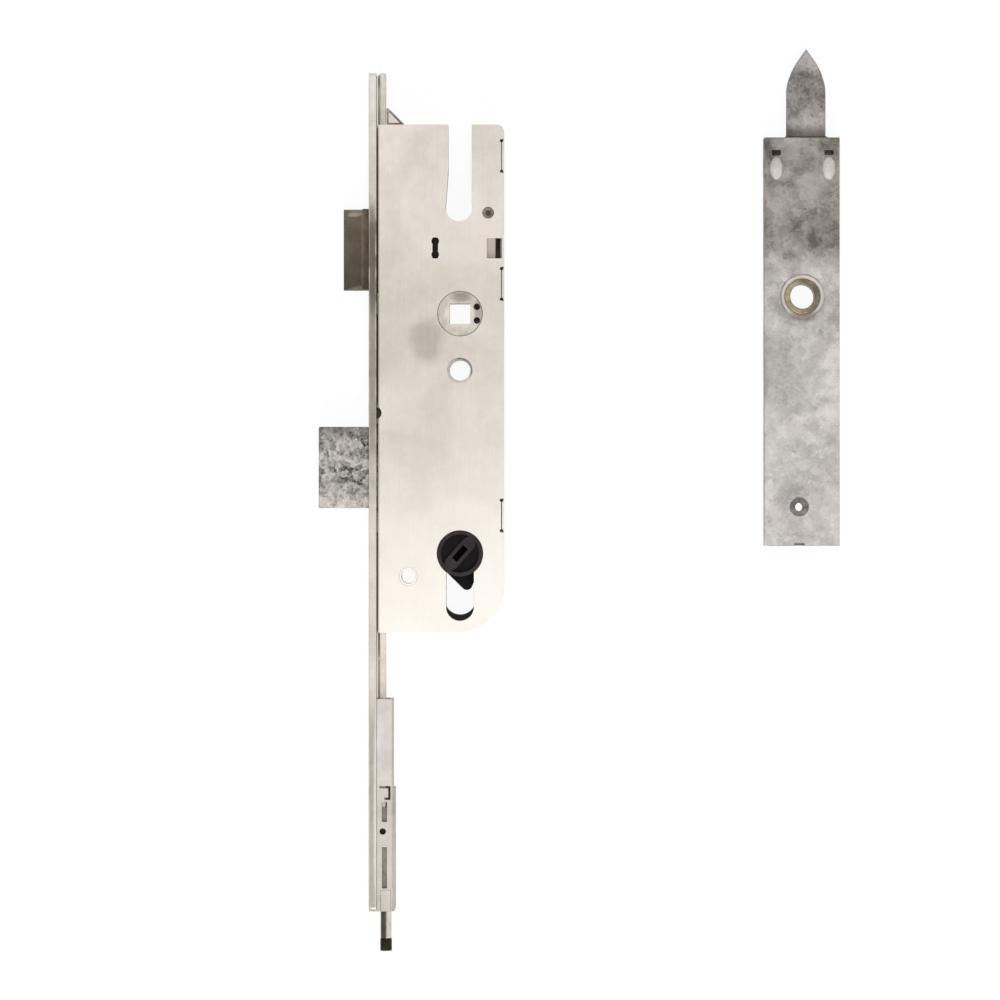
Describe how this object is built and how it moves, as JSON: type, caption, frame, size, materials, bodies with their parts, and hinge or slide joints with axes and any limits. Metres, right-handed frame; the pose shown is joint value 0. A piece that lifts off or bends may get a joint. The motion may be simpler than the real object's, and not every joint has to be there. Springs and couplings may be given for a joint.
{
  "type": "multipoint door lock",
  "caption": "Narrow multipoint door lock: long faceplate, lock case with sprung latch, deadbolt and cylinder hub, driven bottom bolt, and a separate rack shootbolt unit.",
  "frame": {"origin": "on the spindle axis, level with the surface that the lock lies on", "axes": "+X from the faceplate to the rear of the case, +Y up the door, +Z along the spindle"},
  "size_m": [0.2003, 0.347, 0.016],
  "materials": {
    "zinc_sheet": "galvanised sheet, satin",
    "zinc_cast": "zinc casting, mottled",
    "rail_steel": "plated rail, satin",
    "bright_steel": "turned steel",
    "spring_steel": "drawn spring steel",
    "dark_steel": "phosphated",
    "latch_metal": "dark sintered metal",
    "unit_cast": "zinc plate, mottled",
    "tongue_metal": "zinc casting, dull",
    "bronze": "aged",
    "black_plastic": "moulded",
    "pale_plastic": "moulded"
  },
  "bodies": {
    "lock_case": {"faceplate": "rail_steel", "case_tray": "zinc_sheet", "case_cover": "zinc_sheet", "case_rivet": "bright_steel", "case_lugs": "dark_steel", "case_screws": "bright_steel", "handle_sleeve": "bright_steel", "fixing_tube": "bright_steel", "bar_guide": "rail_steel", "profile_liner": "black_plastic", "follower_spring": "spring_steel", "tail_guide": "pale_plastic", "latch_spring": "spring_steel", "spring_guide": "black_plastic", "brake_spring": "spring_steel", "lower_housing": "zinc_sheet", "end_block": "zinc_cast", "housing_rivets": "bright_steel", "unit_body": "unit_cast", "unit_cover": "unit_cast", "tongue_collar": "black_plastic", "pivot_eyelet": "bronze", "lower_eyelet": "unit_cast"},
    "handle_follower": {"follower": "zinc_cast", "drive_pin": "bright_steel"},
    "drive_rail": {"drive_slide": "rail_steel", "drive_bar_upper": "rail_steel", "drive_bar_lower": "rail_steel", "drive_rivets": "bright_steel", "bolt_connector": "bright_steel", "connector_pin": "dark_steel", "bottom_bolt": "rail_steel", "bottom_tip": "dark_steel"},
    "spring_latch": {"latch_bolt": "latch_metal", "latch_tail": "bright_steel", "latch_rivet": "bright_steel"},
    "key_hub": {"cylinder_hub": "black_plastic", "throw_arm": "bright_steel", "throw_pin": "bright_steel"},
    "dead_bolt": {"deadbolt": "zinc_cast", "deadbolt_tail": "bright_steel", "deadbolt_rivets": "bright_steel"},
    "unit_pinion": {"reversing_pinion": "bronze"},
    "unit_tongue": {"tongue": "tongue_metal"},
    "unit_driver": {"driver_slide": "unit_cast"}
  },
  "joints": [
    {"name": "handle_turn", "type": "hinge", "parent": "lock_case", "child": "handle_follower", "pos_m": [0, 0, 0.008], "axis": [0, 0, -1], "range_deg": [0, 45], "stiffness_Nm_per_rad": 0.3, "deforming": ["follower_spring"]},
    {"name": "rail_lift", "type": "slide", "parent": "lock_case", "child": "drive_rail", "axis": [0, 1, 0], "range_m": [0, 0.014]},
    {"name": "latch_slide", "type": "slide", "parent": "lock_case", "child": "spring_latch", "axis": [1, 0, 0], "range_m": [0, 0.0099], "deforming": ["latch_spring"]},
    {"name": "key_turn", "type": "hinge", "parent": "lock_case", "child": "key_hub", "pos_m": [0, -0.092, 0.008], "axis": [0, 0, -1], "range_deg": [0, 70]},
    {"name": "deadbolt_slide", "type": "slide", "parent": "lock_case", "child": "dead_bolt", "axis": [1, 0, 0], "range_m": [0, 0.0193]},
    {"name": "pinion_turn", "type": "hinge", "parent": "lock_case", "child": "unit_pinion", "pos_m": [0.1317, 0.0068, 0.00525], "axis": [0, 0, -1], "range_deg": [0, 91.7]},
    {"name": "tongue_slide", "type": "slide", "parent": "lock_case", "child": "unit_tongue", "axis": [0, -1, 0], "range_m": [0, 0.014]},
    {"name": "driver_lift", "type": "slide", "parent": "lock_case", "child": "unit_driver", "axis": [0, 1, 0], "range_m": [0, 0.014]}
  ],
  "couplings": [
    {"joint": "rail_lift", "follows": "handle_turn", "m_per_rad": 0.017825},
    {"joint": "latch_slide", "follows": "handle_turn", "m_per_rad": 0.012605},
    {"joint": "deadbolt_slide", "follows": "key_turn", "m_per_rad": 0.015797},
    {"joint": "pinion_turn", "follows": "driver_lift", "rad_per_m": 114.29},
    {"joint": "tongue_slide", "follows": "driver_lift", "ratio": 1}
  ]
}
